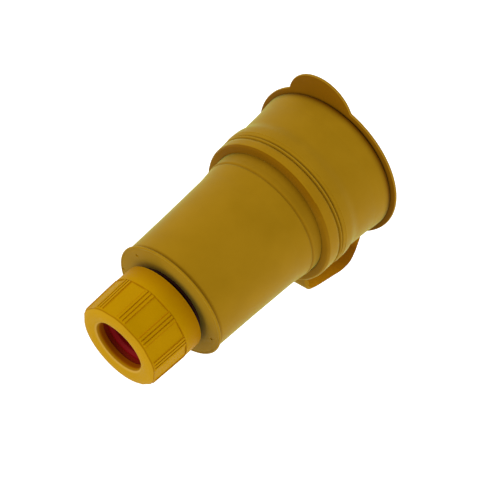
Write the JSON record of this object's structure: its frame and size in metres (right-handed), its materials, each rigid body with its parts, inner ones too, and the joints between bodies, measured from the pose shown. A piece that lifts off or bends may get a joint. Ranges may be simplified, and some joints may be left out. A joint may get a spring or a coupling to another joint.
{
  "type": "watertight locking connector receptacle",
  "caption": "Female twist-locking power connector in a rubber boot, with a hinged sealing lid on its mating face and a ribbed cord-sealing nut at the rear.",
  "frame": {"origin": "centre of the closed lid's front face, on the connector's axis; the part stands on this face", "axes": "+Z along the connector's axis from the lid to the cord nut, +Y towards the lid's pull tab, +X to the side; the lid's strap and hinge are on the -Y side"},
  "size_m": [0.0566, 0.0708, 0.1],
  "materials": {
    "boot_rubber": "matte moulded",
    "lid_rubber": "matte moulded",
    "nylon_black": "moulded",
    "seal_rubber": "matte",
    "nylon_grey": "moulded",
    "brass": "stamped",
    "plated_steel": "zinc plated",
    "grommet_rubber": "matte",
    "nylon_maroon": "moulded",
    "nut_nylon": "satin moulded"
  },
  "bodies": {
    "root": {"boot": "boot_rubber", "lid_collar": "lid_rubber", "socket_face": "nylon_black", "face_gasket": "seal_rubber", "contact_carrier": "nylon_grey", "hot_contact": "brass", "neutral_contact": "brass", "ground_contact": "brass", "hot_clamp_plate": "plated_steel", "neutral_clamp_plate": "plated_steel", "ground_clamp_plate": "plated_steel", "terminal_screws": "plated_steel", "assembly_screws": "plated_steel", "core_housing": "nylon_black", "tail_seal": "seal_rubber", "grommet": "grommet_rubber"},
    "lid": {"lid": "lid_rubber"},
    "slip_ring": {"slip_ring": "nylon_maroon"},
    "nut": {"compression_nut": "nut_nylon"}
  },
  "joints": [
    {"name": "lid_swing", "type": "hinge", "parent": "root", "child": "lid", "pos_m": [0, -0.0272, 0.00185], "axis": [-1, 0, 0], "range_deg": [0, 120]},
    {"name": "nut_travel", "type": "slide", "parent": "root", "child": "slip_ring", "axis": [0, 0, 1], "range_m": [-0.0022, 0.006], "deforming": ["grommet"]},
    {"name": "nut_turn", "type": "hinge", "parent": "slip_ring", "child": "nut", "pos_m": [0, 0, 0.09], "axis": [0, 0, 1], "range_deg": [-400, 1085]}
  ],
  "couplings": [
    {"joint": "nut_turn", "follows": "nut_travel", "rad_per_m": 3141.6}
  ]
}
